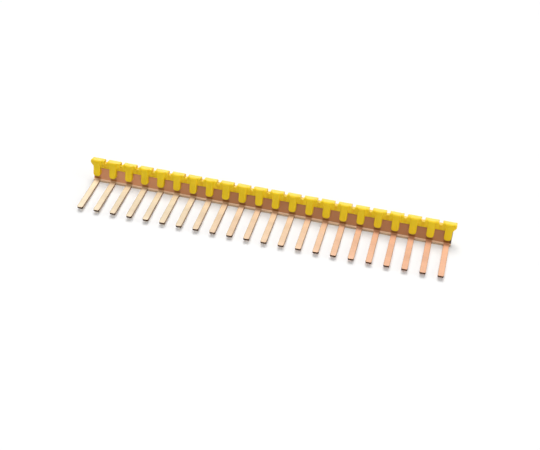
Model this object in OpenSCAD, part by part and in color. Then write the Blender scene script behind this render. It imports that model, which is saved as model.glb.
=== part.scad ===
// Insulated comb jumper for a row of rail terminals: a bent copper comb with a moulded strip of caps

/* [Row] */
// Number of poles, each with one prong and one cap
poles = 22; // [2:1:30]
// Distance between neighbouring prongs, the pitch of the terminals
pitch = 6.2; // [5.5:0.1:10]

/* [Copper comb] */
// Thickness of the copper sheet
sheet_t = 0.8; // [0.5:0.05:1.2]
// Width of a prong
prong_w = 2.1; // [1.6:0.1:3]
// Length of a prong from its tip to the start of the bend
prong_l = 17.4; // [10:0.1:25]
// Radius of a prong's two tip corners
tip_r = 0.65; // [0.2:0.05:0.75]
// Bevel along the upper and lower edge of a prong's tip
tip_bevel = 0.2; // [0.05:0.05:0.24]
// Flat lip left between the prongs ahead of the bend
lip_l = 0.3; // [0.1:0.1:1]
// Radius in the corner between a prong and the lip
root_r = 0.25; // [0.1:0.05:0.6]
// Inner radius of the bend
bend_r = 0.5; // [0.3:0.1:1.2]
// Backward lean of the upright strip, in degrees
lean = 13; // [0:1:20]
// Height of the upright strip above the bend
strip_h = 5.9; // [5.2:0.1:8]
// Length of strip beyond the centre of each end prong
strip_end = 1.5; // [1.3:0.1:2.2]

/* [Insulating strip] */
// Play between the copper and the slot that it sits in
clearance = 0.05; // [0.02:0.01:0.15]
// Width of a cap
cap_w = 5; // [3.4:0.1:5.2]
// Thickness of a cap over the upper edge of the copper
crown_t = 1.65; // [1.2:0.05:2.5]
// Thickness of a cap in front of the copper
cap_front_t = 1.05; // [0.85:0.05:1.3]
// Thickness of the wall behind the copper
back_t = 0.7; // [0.65:0.05:1.5]
// Rounding of a cap's long upper edges
crown_r = 0.6; // [0.2:0.05:0.6]
// Rounding of a cap's two upper corners
corner_r = 0.5; // [0.2:0.05:0.8]
// Height of a cap's straight sides
side_h = 1.25; // [1:0.05:1.8]
// Height of the sloping shoulders below the sides
shoulder_h = 1.45; // [0.6:0.05:2]

/* [Tongues] */
// Width of a tongue
tongue_w = 2.7; // [2.3:0.05:3.2]
// Thickness of a tongue
tongue_t = 1.55; // [1.4:0.05:2.2]
// Height of a tongue's lower end above the bend
tongue_gap = 1.2; // [0.6:0.1:2]
// Radius of a tongue's lower corners
tongue_end_r = 1.05; // [0.6:0.05:1.1]
// Rounding of a tongue's front edges
tongue_edge_r = 0.4; // [0.2:0.05:0.5]

/* [Channel between the caps] */
// Thickness of the front web that joins the caps
web_t = 0.6; // [0.4:0.05:0.75]
// Height of the front web, up to the top of the ridge
web_h = 1.95; // [1.5:0.05:2.6]
// Thickness of the ridge over the upper edge of the copper
ridge_t = 0.55; // [0.4:0.05:0.9]
// Rounding of the ridge's two long edges
ridge_r = 0.3; // [0.1:0.05:0.35]
// Radius of the rounded bead along the lower edge of the front web
bead_r = 0.22; // [0.12:0.02:0.3]
// Lower edge of the back wall above the bend
back_gap = 1.2; // [0.6:0.1:3]

/* [Hidden] */
$fn = 48;
row_l = (poles - 1) * pitch;
strip_l = row_l + 2 * strip_end;
bend_outer_r = bend_r + sheet_t;

// Faces of the strip and its cover, measured across the strip from the axis of the bend
slot_front = bend_r - clearance;
slot_back = bend_outer_r + clearance;
cap_front = slot_front - cap_front_t;
cap_back = slot_back + back_t;
web_front = slot_front - web_t;

// Heights along the strip, measured up from the axis of the bend
slot_top = strip_h + clearance;
cap_top = slot_top + crown_t;
side_bottom = cap_top - side_h;
shoulder_bottom = side_bottom - shoulder_h;
ridge_top = slot_top + ridge_t;
web_bottom = ridge_top - web_h;

// Overall depth, from the prong tips to the rounded rear edge of the caps
depth = prong_l + (cap_back - crown_r) * cos(lean) + (cap_top - crown_r) * sin(lean) + crown_r;

// Stands the origin under the middle of the part
module centred() {
    translate([0, -depth / 2, 0])
        children();
}

// The frame of the upright strip: origin on the axis of the bend, leaning back
module upright() {
    translate([0, prong_l, bend_outer_r])
        rotate([-lean, 0, 0])
            children();
}

// Extrudes a side profile (depth, height) along the row
module along_row(length) {
    rotate([90, 0, 90])
        linear_extrude(height = length, center = true)
            children();
}

module at_each_pole() {
    for (i = [0 : poles - 1])
        translate([i * pitch - row_l / 2, 0, 0])
            children();
}

// Block with one rounded corner, the far one
module rounded_corner(width, height, radius) {
    square([width - radius, height]);
    square([width, height - radius]);
    translate([width - radius, height - radius])
        circle(radius);
}

// Both halves of an outline that is the same on the left and the right
module both_sides() {
    children();
    mirror([1, 0])
        children();
}

// Side profile of the copper: lip, bend and upright strip
module comb_profile() {
    translate([prong_l - lip_l, 0])
        square([lip_l, sheet_t]);
    translate([prong_l, bend_outer_r]) {
        intersection() {
            difference() {
                circle(bend_outer_r);
                circle(bend_r);
            }
            polygon([
                [0, 0],
                [0, -2 * bend_outer_r],
                [2 * bend_outer_r, -2 * bend_outer_r],
                [2 * bend_outer_r, -2 * bend_outer_r * tan(lean)]
            ]);
        }
        rotate(-lean)
            translate([bend_r, 0])
                square([sheet_t, strip_h]);
    }
}

// Plan of one prong, with rounded tip corners and a small radius where it leaves the lip
module prong_plan() {
    both_sides() {
        translate([0, prong_l])
            mirror([0, 1])
                rounded_corner(prong_w / 2, prong_l, tip_r);
        translate([prong_w / 2, prong_l - lip_l - root_r])
            difference() {
                square(root_r);
                translate([root_r, 0])
                    circle(root_r);
            }
    }
}

// Side view of one prong, bevelled at the tip
module prong_side() {
    polygon([
        [0, tip_bevel],
        [tip_bevel, 0],
        [prong_l, 0],
        [prong_l, sheet_t],
        [tip_bevel, sheet_t],
        [0, sheet_t - tip_bevel]
    ]);
}

module prong() {
    intersection() {
        linear_extrude(height = sheet_t)
            prong_plan();
        along_row(prong_w + 2 * root_r)
            prong_side();
    }
}

module copper_comb() {
    color("#c98a66")
        centred() {
            along_row(strip_l)
                comb_profile();
            at_each_pole()
                prong();
        }
}

// Front view of a cap: straight sides with rounded upper corners, over shoulders that slope in to the tongue
module cap_outline() {
    both_sides() {
        translate([0, side_bottom])
            rounded_corner(cap_w / 2, side_h, corner_r);
        polygon([
            [0, shoulder_bottom],
            [tongue_w / 2, shoulder_bottom],
            [cap_w / 2, side_bottom],
            [0, side_bottom]
        ]);
    }
}

// Side profile of a cap, with both long upper edges rounded
module cap_side() {
    mid = (cap_front + cap_back) / 2;
    translate([mid, shoulder_bottom])
        both_sides()
            rounded_corner(cap_back - mid, cap_top - shoulder_bottom, crown_r);
}

module cap() {
    intersection() {
        along_row(cap_w)
            cap_side();
        translate([0, cap_back, 0])
            rotate([90, 0, 0])
                linear_extrude(height = cap_back - cap_front)
                    cap_outline();
    }
}

// Tongue that hangs in front of the strip: rounded front edges, rounded lower end, top level with the cap
module tongue() {
    half_flat = tongue_w / 2 - tongue_end_r;
    end_z = tongue_gap + tongue_end_r;
    translate([0, slot_front, end_z]) {
        intersection() {
            linear_extrude(height = cap_top - end_z)
                mirror([0, 1])
                    both_sides()
                        rounded_corner(tongue_w / 2, tongue_t, tongue_edge_r);
            along_row(tongue_w)
                mirror([1, 0])
                    rounded_corner(tongue_t, cap_top - end_z, crown_r);
        }
        rotate([90, 0, 0])
            for (side = [0, 1])
                mirror([side, 0, 0])
                    translate([half_flat, 0, 0])
                        rotate(-90)
                            rotate_extrude(angle = 90)
                                rounded_corner(tongue_end_r, tongue_t, tongue_edge_r);
        rotate([90, 90, 90])
            linear_extrude(height = 2 * half_flat, center = true)
                mirror([0, 1])
                    rounded_corner(tongue_end_r, tongue_t, tongue_edge_r);
    }
}

// Side profile between the caps before the slot is cut, with a bead along its lower front edge
module channel() {
    mid = (web_front + cap_back) / 2;
    translate([mid, web_bottom])
        both_sides()
            rounded_corner(cap_back - mid, web_h, ridge_r);
    translate([web_front, web_bottom + bead_r])
        circle(bead_r);
}

// Side profile of the wall that covers the back of the copper below the ridge
module back_wall() {
    translate([slot_back, back_gap])
        square([back_t, ridge_top - ridge_r - back_gap]);
}

// Room for the copper, closed at both ends of the row and open below
module slot() {
    translate([-strip_l / 2 - clearance, slot_front, 0])
        cube([strip_l + 2 * clearance, slot_back - slot_front, slot_top]);
}

module insulating_strip() {
    color("#e8c31c")
        centred()
            upright()
                difference() {
                    union() {
                        at_each_pole() {
                            cap();
                            tongue();
                        }
                        along_row(row_l)
                            channel();
                        along_row(strip_l)
                            back_wall();
                    }
                    slot();
                }
}

copper_comb();
insulating_strip();
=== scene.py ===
import math

import bpy
import numpy as np
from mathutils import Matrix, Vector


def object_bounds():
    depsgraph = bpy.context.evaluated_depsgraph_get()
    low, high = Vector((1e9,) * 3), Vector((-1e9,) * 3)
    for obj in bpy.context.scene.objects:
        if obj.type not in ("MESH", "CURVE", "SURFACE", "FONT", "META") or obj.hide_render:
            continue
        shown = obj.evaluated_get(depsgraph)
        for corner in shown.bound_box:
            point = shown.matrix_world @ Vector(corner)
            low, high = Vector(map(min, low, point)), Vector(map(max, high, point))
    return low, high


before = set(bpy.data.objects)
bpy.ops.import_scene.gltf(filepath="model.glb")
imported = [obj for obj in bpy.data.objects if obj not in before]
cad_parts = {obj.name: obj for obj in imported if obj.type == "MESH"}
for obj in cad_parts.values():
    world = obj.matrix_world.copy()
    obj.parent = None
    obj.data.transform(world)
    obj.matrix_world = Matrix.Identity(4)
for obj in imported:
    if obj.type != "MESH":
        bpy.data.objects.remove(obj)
cadBox = [list(corner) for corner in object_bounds()]
print("frame loaded:", sorted(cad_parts))

millimetre = 0.001
polePitch = 6.2 * millimetre
tipPlace = cadBox[0][1]  # the prong tips are the foremost points
tableHeight = cadBox[0][2]


# Small helpers for shader trees

def addNode(tree, kind, **settings):
    node = tree.nodes.new(kind)
    for name, value in settings.items():
        setattr(node, name, value)
    return node


def join(tree, source, target):
    tree.links.new(source, target)


# A socket takes a colour, a number, or the output of another node
def feed(tree, socket, value):
    if isinstance(value, tuple):
        socket.default_value = (*value, 1.0)
    elif isinstance(value, (int, float)):
        socket.default_value = value
    else:
        join(tree, value, socket)


def startMaterial(name):
    material = bpy.data.materials.new(name)
    material.use_nodes = True
    tree = material.node_tree
    tree.nodes.clear()
    return material, tree, addNode(tree, "ShaderNodeOutputMaterial")


def addMath(tree, operation, first, second=0.0):
    node = addNode(tree, "ShaderNodeMath", operation=operation)
    feed(tree, node.inputs[0], first)
    feed(tree, node.inputs[1], second)
    return node.outputs["Value"]


# Goes smoothly from start to end while the source goes from low to high
def addRange(tree, source, low, high, start=0.0, end=1.0):
    node = addNode(tree, "ShaderNodeMapRange", interpolation_type="SMOOTHSTEP")
    node.inputs["From Min"].default_value = low
    node.inputs["From Max"].default_value = high
    node.inputs["To Min"].default_value = start
    node.inputs["To Max"].default_value = end
    join(tree, source, node.inputs["Value"])
    return node.outputs["Result"]


# The other way round: full below low and gone above high
def addFall(tree, source, low, high):
    return addRange(tree, source, low, high, 1.0, 0.0)


# Masks: where all of them hold, where any of them does, and where one holds without another
def addOverlap(tree, mask, *others):
    for other in others:
        mask = addMath(tree, "MULTIPLY", mask, other)
    return mask


def addEither(tree, mask, *others):
    for other in others:
        mask = addMath(tree, "MAXIMUM", mask, other)
    return mask


def addWithout(tree, mask, other):
    return addMath(tree, "MULTIPLY", mask, addMath(tree, "SUBTRACT", 1.0, other))


def addMix(tree, mask, under, over, blend="MIX", kind="RGBA"):
    node = addNode(tree, "ShaderNodeMix", data_type=kind, blend_type=blend)
    for name, value in (("Factor", mask), ("A", under), ("B", over)):
        feed(tree, node.inputs[name], value)
    return node.outputs["Result"]


def addNumberMix(tree, mask, under, over):
    return addMix(tree, mask, under, over, kind="FLOAT")


# The place of a point on the piece, and the way its face looks, each as X, Y and Z
def addPlace(tree):
    coordinate = addNode(tree, "ShaderNodeTexCoord")
    parts = addNode(tree, "ShaderNodeSeparateXYZ")
    join(tree, coordinate.outputs["Object"], parts.inputs["Vector"])
    return parts.outputs


def addFacing(tree, normal):
    geometry = addNode(tree, "ShaderNodeNewGeometry")
    parts = addNode(tree, "ShaderNodeSeparateXYZ")
    join(tree, geometry.outputs[normal], parts.inputs["Vector"])
    return parts.outputs


# Distance along the row from the middle of the nearest pole; the row's middle lies between two poles
def addAcross(tree, along):
    turns = addMath(tree, "FRACT", addMath(tree, "DIVIDE", along, polePitch))
    aside = addMath(tree, "ABSOLUTE", addMath(tree, "SUBTRACT", turns, 0.5))
    return addMath(tree, "MULTIPLY", aside, polePitch)


# 1 for what the eye sees straight, in a mirror or through glass, 0 for light that only falls on things
def addSeenMask(tree):
    path = addNode(tree, "ShaderNodeLightPath")
    rays = ("Is Camera Ray", "Is Glossy Ray", "Is Transmission Ray")
    return addEither(tree, *(path.outputs[ray] for ray in rays))


# Mottle: two sizes of noise on the piece's own place, stretched along each axis. Both together give
# one value round 0.5, and the fine one alone gives a height for a bump

mottle = {
    "detail": 3.0,
    "darkAt": 0.3,  # values at which a finish has its dark and its light tone
    "lightAt": 0.7,
}


def makeMottleGroup(values):
    group = bpy.data.node_groups.new("mottle", "ShaderNodeTree")
    face = group.interface
    face.new_socket(name="Stretch", in_out="INPUT", socket_type="NodeSocketVector")
    for name in ("Coarse", "Fine", "Balance"):
        face.new_socket(name=name, in_out="INPUT", socket_type="NodeSocketFloat")
    for name in ("Value", "Height"):
        face.new_socket(name=name, in_out="OUTPUT", socket_type="NodeSocketFloat")
    inside = addNode(group, "NodeGroupInput")
    outside = addNode(group, "NodeGroupOutput")
    place = addNode(group, "ShaderNodeTexCoord")
    stretched = addNode(group, "ShaderNodeVectorMath", operation="MULTIPLY")
    join(group, place.outputs["Object"], stretched.inputs[0])
    join(group, inside.outputs["Stretch"], stretched.inputs[1])
    layers = []
    for name in ("Coarse", "Fine"):
        noise = addNode(group, "ShaderNodeTexNoise")
        noise.inputs["Detail"].default_value = values["detail"]
        join(group, stretched.outputs["Vector"], noise.inputs["Vector"])
        join(group, inside.outputs[name], noise.inputs["Scale"])
        layers.append(noise.outputs["Fac"])
    coarse, fine = layers
    join(group, addNumberMix(group, inside.outputs["Balance"], coarse, fine), outside.inputs["Value"])
    join(group, fine, outside.inputs["Height"])
    return group


mottleGroup = makeMottleGroup(mottle)


def addMottle(tree, values):
    node = addNode(tree, "ShaderNodeGroup", node_tree=mottleGroup)
    for name in ("Stretch", "Coarse", "Fine", "Balance"):
        node.inputs[name].default_value = values[name.lower()]
    return node.outputs["Value"], node.outputs["Height"]


def addTones(tree, mottled, dark, light):
    ramp = addNode(tree, "ShaderNodeValToRGB")
    stops = ((mottle["darkAt"], dark), (mottle["lightAt"], light))
    for element, (place, colour) in zip(ramp.color_ramp.elements, stops):
        element.position = place
        element.color = (*colour, 1.0)
    join(tree, mottled, ramp.inputs["Fac"])
    return ramp.outputs["Color"]


# What the copper and the plastic share: roughness that follows the mottle, and a fine grain
def addFinish(tree, output, values, colour, mottled, grain):
    shader = addNode(tree, "ShaderNodeBsdfPrincipled")
    shader.inputs["Specular IOR Level"].default_value = values["specular"]
    join(tree, colour, shader.inputs["Base Color"])
    roughness = addNode(tree, "ShaderNodeMapRange")
    roughness.inputs["To Min"].default_value = values["roughLow"]
    roughness.inputs["To Max"].default_value = values["roughHigh"]
    join(tree, mottled, roughness.inputs["Value"])
    join(tree, roughness.outputs["Result"], shader.inputs["Roughness"])
    bump = addNode(tree, "ShaderNodeBump")
    bump.inputs["Distance"].default_value = values["grainDepth"]
    bump.inputs["Strength"].default_value = values["grainStrength"]
    join(tree, grain, bump.inputs["Height"])
    join(tree, bump.outputs["Normal"], shader.inputs["Normal"])
    join(tree, shader.outputs["BSDF"], output.inputs["Surface"])
    return shader


# Rolled copper sheet: bright on the prongs, browner on the upright strip as painted shade, dark on its
# sheared edges as duller metal and painted shade.
# Lengths named From and To are the places where a tone begins and where it is full

copper = {
    "dark": (0.67, 0.43, 0.295),
    "light": (0.785, 0.525, 0.375),
    "rootDark": (0.74, 0.475, 0.32),  # painted light: paler towards the bend
    "rootLight": (0.86, 0.575, 0.405),
    "rootFrom": 9.0 * millimetre,  # from the tips
    "rootTo": 13.0 * millimetre,
    "footDark": (0.79, 0.5, 0.335),  # painted light: palest a little ahead of the bend
    "footLight": (0.91, 0.605, 0.425),
    "footFrom": 12.5 * millimetre,
    "footTo": 15.0 * millimetre,
    "bend": (0.66, 0.54, 0.43),  # painted shade: a prong darkens just before the bend
    "bendFrom": 15.6 * millimetre,
    "bendTo": 17.6 * millimetre,
    "drift": (1.0, 1.22, 1.3),  # painted sheen: the sheet is paler towards the left end of the row
    "driftFrom": 50.0 * millimetre,  # along the row
    "driftTo": 0.0,
    "pale": (0.97, 1.06, 1.1),  # and more painted sheen over its left third
    "paleFrom": -5.0 * millimetre,
    "paleTo": -35.0 * millimetre,
    "rim": (0.74, 0.68, 0.6),  # painted shade on the prongs' rolled edges
    "rimFrom": 0.86 * millimetre,  # from a prong's middle
    "rimTo": 1.04 * millimetre,
    # painted shade: the upright strip is darker and browner than the prongs
    "stripShade": (0.54, 0.262, 0.128),
    "stripShadeFrom": 0.8 * millimetre,  # height
    "stripShadeTo": 0.85 * millimetre,
    "stripShadePole": 1.2 * millimetre,  # the same below a tongue, where the brown comes in slowly
    "stripShadeMetal": 0.4,  # the brown is duller than bare metal
    "fade": (1.33, 1.4, 1.55),  # painted light: the brown is paler at the left end of the row
    "fadeFrom": -15.0 * millimetre,
    "fadeTo": -55.0 * millimetre,
    "endShade": (0.1, 0.08, 0.06),  # painted shade along the right end of the strip
    "endFrom": 65.9 * millimetre,
    "endTo": 66.35 * millimetre,
    "shade": (0.5, 0.43, 0.2),  # under each tongue
    "shadeInner": 0.8 * millimetre,  # from a pole's middle, where it begins to fade and where it ends
    "shadeOuter": 1.6 * millimetre,
    "shadeFull": 1.2 * millimetre,  # the same by height
    "shadeTop": 2.4 * millimetre,
    "lipFace": (0.58, 0.45, 0.32),  # the sheared face between the prongs
    "lipTop": (0.86, 0.68, 0.5),  # a painted highlight on the edge above it
    "lipFrom": 16.9 * millimetre,  # from the tips
    "lipHeight": 0.95 * millimetre,
    "cutEdge": (0.055, 0.02, 0.007),  # sheared sides and tips of the prongs: duller metal, painted near-black for the shade they lie in
    "cutFoot": (0.6, 0.42, 0.33),  # a sheared side is paler towards its lower edge, painted light from the table
    "cutStrip": (0.17, 0.09, 0.055),  # the ends of the strip
    "cutFrom": 0.36 * millimetre,  # height
    "cutTo": 0.52 * millimetre,
    "cutTilt": 0.3,  # a face whose normal rises less than this stands upright
    "cutTurn": 0.5,  # one that turns more than this along the row is a side
    "tipDepth": 0.8 * millimetre,  # how far back from the tips the sheared end reaches, and how far up
    "tipHeight": 0.7 * millimetre,
    "stretch": (0.25, 1.0, 1.0),  # rolling marks run along the row
    "coarse": 260.0,
    "fine": 2600.0,
    "balance": 0.35,
    "roughLow": 0.74,
    "roughHigh": 0.86,
    "specular": 0.15,  # of the strip's painted shade and the sheared edges, which aren't bare metal
    "grainDepth": 0.006 * millimetre,
    "grainStrength": 0.25,
}


# Where a point lies on the sheet: its place, and masks that several tones share
def addWhere(tree, values):
    place = addPlace(tree)
    facing = addFacing(tree, "True Normal")
    fromTip = addMath(tree, "SUBTRACT", place["Y"], tipPlace)
    across = addAcross(tree, place["X"])
    beside = addFall(tree, across, values["shadeInner"], values["shadeOuter"])
    front = addMath(tree, "GREATER_THAN", facing["Z"], facing["Y"])
    tilt = addMath(tree, "ABSOLUTE", facing["Z"])
    turn = addMath(tree, "ABSOLUTE", facing["X"])
    return {
        "along": place["X"],
        "up": place["Z"],
        "fromTip": fromTip,
        "across": across,
        "front": front,  # looks up on the prongs and forward on the strip
        "nearPole": addOverlap(tree, beside, front),
        "onLip": addMath(tree, "GREATER_THAN", fromTip, values["lipFrom"]),
        "atTip": addMath(tree, "LESS_THAN", fromTip, values["tipDepth"]),
        "upright": addMath(tree, "LESS_THAN", tilt, values["cutTilt"]),
        "sideways": addMath(tree, "GREATER_THAN", turn, values["cutTurn"]),
    }


# Bare sheet: its tones follow one another from the tips to the bend as painted light, and pale towards
# the left end as painted sheen
def addBareSheet(tree, values, where, mottled):
    sheet = addTones(tree, mottled, values["dark"], values["light"])
    for tone in ("root", "foot"):
        reached = addRange(tree, where["fromTip"], values[tone + "From"], values[tone + "To"])
        tones = addTones(tree, mottled, values[tone + "Dark"], values[tone + "Light"])
        sheet = addMix(tree, reached, sheet, tones)
    for tone in ("drift", "pale"):
        leftward = addFall(tree, where["along"], values[tone + "To"], values[tone + "From"])
        sheet = addMix(tree, leftward, sheet, values[tone], "MULTIPLY")
    bend = addRange(tree, where["fromTip"], values["bendFrom"], values["bendTo"])
    sheet = addMix(tree, addOverlap(tree, bend, where["nearPole"]), sheet, values["bend"], "MULTIPLY")
    rim = addRange(tree, where["across"], values["rimFrom"], values["rimTo"])
    return addMix(tree, addWithout(tree, rim, where["onLip"]), sheet, values["rim"], "MULTIPLY")


# Painted shade: brown comes in with height, so the prongs stay bright; the back of the bend is brown
# all over
def addStripShade(tree, values, where):
    fade = addFall(tree, where["along"], values["fadeTo"], values["fadeFrom"])
    faded = tuple(np.multiply(values["stripShade"], values["fade"]))
    stripShade = addMix(tree, fade, values["stripShade"], faded)
    endShade = addRange(tree, where["along"], values["endFrom"], values["endTo"])
    stripShade = addMix(tree, endShade, stripShade, values["endShade"])
    overGap = addRange(tree, where["up"], values["stripShadeFrom"], values["stripShadeTo"])
    overProng = addRange(tree, where["up"], values["stripShadeFrom"], values["stripShadePole"])
    behind = addWithout(tree, where["onLip"], where["front"])
    brown = addEither(tree, addNumberMix(tree, where["nearPole"], overGap, overProng), behind)
    return stripShade, brown


# Under each tongue the bend is dark, less so aside from the pole's middle and higher up
def addTongueShade(tree, values, where, brown, colour):
    low = addFall(tree, where["up"], values["shadeFull"], values["shadeTop"])
    shade = addOverlap(tree, where["nearPole"], low, brown)
    return addMix(tree, shade, colour, values["shade"], "MULTIPLY")


# Between the prongs the lip has a paler edge, a painted highlight, over its sheared face
def addLip(tree, values, where, colour):
    underHighlight = addMath(tree, "LESS_THAN", where["up"], values["lipHeight"])
    aside = addWithout(tree, where["front"], where["nearPole"])
    colour = addMix(tree, addOverlap(tree, where["onLip"], underHighlight, aside), colour, values["lipTop"])
    low = addMath(tree, "LESS_THAN", where["up"], values["stripShadeFrom"])
    return addMix(tree, addOverlap(tree, where["upright"], low), colour, values["lipFace"])


# The other sheared faces, painted dark for the shade they lie in and paler low down: the prongs'
# sides, the ends of the strip, and round the tips
def addShearedFaces(tree, values, where):
    tipLow = addMath(tree, "LESS_THAN", where["up"], values["tipHeight"])
    tipFace = addOverlap(tree, where["atTip"], tipLow)
    cut = addEither(tree, addOverlap(tree, where["upright"], where["sideways"]), tipFace)
    high = addRange(tree, where["up"], values["cutFrom"], values["cutTo"])
    dark = addEither(tree, high, where["atTip"])
    sheared = addMix(tree, dark, values["cutFoot"], values["cutEdge"])
    return addMix(tree, where["onLip"], sheared, values["cutStrip"]), cut


def makeCopper(values):
    material, tree, output = startMaterial("rolledCopper")
    mottled, grain = addMottle(tree, values)
    where = addWhere(tree, values)
    colour = addBareSheet(tree, values, where, mottled)
    stripShade, brown = addStripShade(tree, values, where)
    colour = addMix(tree, brown, colour, stripShade)
    colour = addTongueShade(tree, values, where, brown, colour)
    colour = addLip(tree, values, where, colour)
    sheared, cut = addShearedFaces(tree, values, where)
    colour = addMix(tree, cut, colour, sheared)
    shader = addFinish(tree, output, values, colour, mottled, grain)
    bright = addRange(tree, brown, 0.0, 1.0, 1.0, values["stripShadeMetal"])
    join(tree, addWithout(tree, bright, cut), shader.inputs["Metallic"])
    return material


# Moulded yellow plastic with a fine satin grain, and painted shade on faces that look down and in the
# channel between caps

plastic = {
    "dark": (0.87, 0.59, 0.003),
    "light": (0.96, 0.68, 0.006),
    "downShade": (0.55, 0.46, 0.2),  # painted shade: faces that look down are darker
    "downFrom": 0.0,
    "downTo": -0.6,
    "dipTop": (0.8, 0.81, 0.6),  # painted shade: the channel between two caps is darker, most of all on its ridge
    "dipFront": (0.97, 0.87, 0.55),
    "dipFrom": 2.5 * millimetre,  # from a pole's middle
    "dipTo": 2.65 * millimetre,
    "backFrom": 0.5,  # faces that look back stay as they are
    "backTo": 0.9,
    "ridgeFrom": 0.3,  # faces that look up are the ridge
    "ridgeTo": 0.7,
    "glow": 0.12,  # light that goes into the plastic and comes out close by
    "glowReach": (1.0, 0.55, 0.1),
    "glowScale": 0.6 * millimetre,
    "stretch": (1.0, 1.0, 1.0),
    "coarse": 240.0,
    "fine": 5200.0,
    "balance": 0.4,
    "roughLow": 0.34,
    "roughHigh": 0.5,
    "specular": 0.3,
    "grainDepth": 0.01 * millimetre,
    "grainStrength": 0.3,
}


def makePlastic(values):
    material, tree, output = startMaterial("mouldedYellow")
    mottled, grain = addMottle(tree, values)
    place = addPlace(tree)
    facing = addFacing(tree, "Normal")
    colour = addTones(tree, mottled, values["dark"], values["light"])
    down = addFall(tree, facing["Z"], values["downTo"], values["downFrom"])
    colour = addMix(tree, down, colour, values["downShade"], "MULTIPLY")
    dip = addRange(tree, addAcross(tree, place["X"]), values["dipFrom"], values["dipTo"])
    notBack = addFall(tree, facing["Y"], values["backFrom"], values["backTo"])
    ridge = addRange(tree, facing["Z"], values["ridgeFrom"], values["ridgeTo"])
    dipShade = addMix(tree, ridge, values["dipFront"], values["dipTop"])
    colour = addMix(tree, addOverlap(tree, dip, notBack), colour, dipShade, "MULTIPLY")
    shader = addFinish(tree, output, values, colour, mottled, grain)
    shader.inputs["Subsurface Weight"].default_value = values["glow"]
    shader.inputs["Subsurface Radius"].default_value = values["glowReach"]
    shader.inputs["Subsurface Scale"].default_value = values["glowScale"]
    return material


finishes = {
    "copper_comb": makeCopper(copper),
    "insulating_strip": makePlastic(plastic),
}
for nodeName, material in finishes.items():
    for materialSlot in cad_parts[nodeName].material_slots:
        materialSlot.material = material
print("materials set:", sorted(finishes))


# Pale table: a sheet whose height is a function of its depth, level behind the bend, lower ahead of
# the tips and straight in between, so that the part touches it along the bend and the tips stand clear

table = {
    "reach": 3.0,  # metres to each side
    "tipGap": 1.1 * millimetre,
    "bendPlace": 17.4 * millimetre,  # from the tips
    "pale": (0.88, 0.88, 0.88),
    "paler": (0.91, 0.91, 0.91),
    "stretch": (1.0, 1.0, 1.0),
    "coarse": 6.0,
    "fine": 60.0,
    "balance": 0.5,
    "seenLift": 0.075,  # added for the eye and for reflections, so that the open table is white
    "farLift": 0.7,  # the same far out, where less light falls
    "farFrom": 0.35,
    "farTo": 1.6,
}


def makeTableFinish(values):
    material, tree, output = startMaterial("paleTable")
    mottled = addMottle(tree, values)[0]
    diffuse = addNode(tree, "ShaderNodeBsdfDiffuse")
    join(tree, addTones(tree, mottled, values["pale"], values["paler"]), diffuse.inputs["Color"])
    coordinate = addNode(tree, "ShaderNodeTexCoord")
    farOut = addNode(tree, "ShaderNodeVectorMath", operation="LENGTH")
    join(tree, coordinate.outputs["Object"], farOut.inputs[0])
    strength = addRange(tree, farOut.outputs["Value"], values["farFrom"], values["farTo"],
                        values["seenLift"], values["farLift"])
    lift = addNode(tree, "ShaderNodeEmission")
    join(tree, addOverlap(tree, addSeenMask(tree), strength), lift.inputs["Strength"])
    both = addNode(tree, "ShaderNodeAddShader")
    join(tree, diffuse.outputs["BSDF"], both.inputs[0])
    join(tree, lift.outputs["Emission"], both.inputs[1])
    join(tree, both.outputs["Shader"], output.inputs["Surface"])
    return material


def makeTable(values):
    reach = values["reach"]
    depth = np.array([-reach, tipPlace, tipPlace + values["bendPlace"], reach])
    side, along = np.meshgrid([-reach, reach], depth)
    level = tableHeight + np.interp(along, depth[1:3], [-values["tipGap"], 0.0])
    points = np.stack([side, along, level], axis=-1).reshape(-1, 3)
    index = np.arange(len(points)).reshape(side.shape)
    faces = np.stack([index[:-1, 0], index[:-1, 1], index[1:, 1], index[1:, 0]], axis=-1)
    mesh = bpy.data.meshes.new("table")
    mesh.from_pydata(points.tolist(), [], faces.tolist())
    mesh.materials.append(makeTableFinish(values))
    obj = bpy.data.objects.new("table", mesh)
    bpy.context.scene.collection.objects.link(obj)


makeTable(table)
print("table laid at height", round(tableHeight, 5))


# Soft studio light: a white room all round, a high lamp behind, softer ones above the front and on
# the right, and two lamps that only show as a sheen: one on the left for the copper, and a low card
# behind for the upper edges

room = {
    "colour": (1.0, 1.0, 1.0),
    "seen": 1.0,  # strength for the eye and in reflections
    "falling": 0.3,  # strength of the light that it throws on things
}

lamps = {
    "highLamp": {
        "azimuth": -12.0,  # degrees from straight behind, negative towards the left
        "elevation": 68.0,
        "distance": 3.0,
        "width": 1.6,
        "height": 1.6,
        "power": 55.0,
        "lights": True,  # falls on matt surfaces
        "mirrored": False,  # shows in glossy ones
    },
    "sheenLamp": {
        "azimuth": -62.0,
        "elevation": 60.0,
        "distance": 3.0,
        "width": 1.6,
        "height": 1.6,
        "power": 40.0,
        "lights": False,
        "mirrored": True,
    },
    "frontLamp": {
        "azimuth": 172.0,
        "elevation": 52.0,
        "distance": 1.6,
        "width": 0.5,
        "height": 0.5,
        "power": 6.2,
        "lights": True,
        "mirrored": True,
    },
    "rightLamp": {
        "azimuth": 95.0,
        "elevation": 28.0,
        "distance": 1.6,
        "width": 0.8,
        "height": 0.8,
        "power": 3.2,
        "lights": True,
        "mirrored": True,
    },
    "rimCard": {
        "azimuth": 0.0,
        "elevation": 14.0,
        "distance": 0.8,
        "width": 1.8,
        "height": 0.36,
        "power": 5.0,
        "lights": False,
        "mirrored": True,
    },
}


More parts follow.
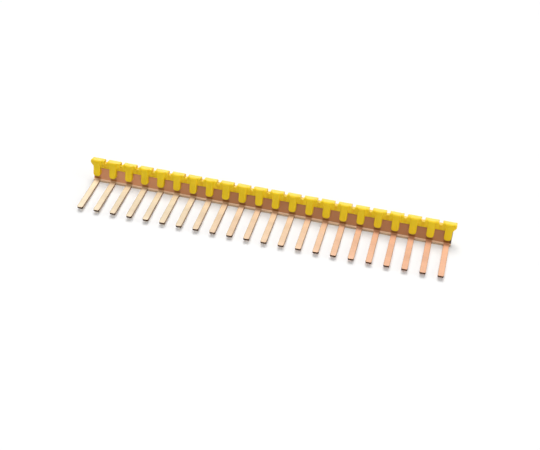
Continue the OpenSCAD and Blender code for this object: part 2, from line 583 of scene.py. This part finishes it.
def makeRoom(values):
    world = bpy.data.worlds.new("whiteRoom")
    bpy.context.scene.world = world
    world.use_nodes = True
    tree = world.node_tree
    tree.nodes.clear()
    output = addNode(tree, "ShaderNodeOutputWorld")
    background = addNode(tree, "ShaderNodeBackground")
    strength = addNumberMix(tree, addSeenMask(tree), values["falling"], values["seen"])
    join(tree, strength, background.inputs["Strength"])
    feed(tree, background.inputs["Color"], values["colour"])
    join(tree, background.outputs["Background"], output.inputs["Surface"])


# A lamp faces the origin from its azimuth, elevation and distance
def makeLamp(name, values):
    data = bpy.data.lights.new(name, "AREA")
    data.shape = "RECTANGLE"
    data.size = values["width"]
    data.size_y = values["height"]
    data.energy = values["power"]
    lamp = bpy.data.objects.new(name, data)
    bpy.context.scene.collection.objects.link(lamp)
    azimuth = math.radians(values["azimuth"])
    elevation = math.radians(values["elevation"])
    away = values["distance"] * math.cos(elevation)
    high = values["distance"] * math.sin(elevation)
    lamp.location = (away * math.sin(azimuth), away * math.cos(azimuth), high)
    lamp.rotation_euler = (math.pi / 2 - elevation, 0.0, math.pi - azimuth)
    lamp.visible_diffuse = values["lights"]
    lamp.visible_glossy = values["mirrored"]


makeRoom(room)
for lampName, lampValues in lamps.items():
    makeLamp(lampName, lampValues)
print("lights set")


# Camera at the photograph's angle, for a picture 540 wide and 450 high

view = {
    "place": (0.062201, -0.265842, 0.223096),
    "turn": (50.6752, -2.0204, 14.2109),  # degrees about X, Y and Z
    "lens": 65.83,
    "sensor": 36.0,
    "near": 0.005,
    "far": 20.0,
}


def makeCamera(values):
    data = bpy.data.cameras.new("view")
    data.sensor_fit = "HORIZONTAL"
    data.sensor_width = values["sensor"]
    data.lens = values["lens"]
    data.clip_start = values["near"]
    data.clip_end = values["far"]
    camera = bpy.data.objects.new("view", data)
    camera.location = values["place"]
    camera.rotation_euler = [math.radians(angle) for angle in values["turn"]]
    bpy.context.scene.collection.objects.link(camera)
    bpy.context.scene.camera = camera


makeCamera(view)
bpy.context.scene.view_settings.view_transform = "Standard"
print("camera set")
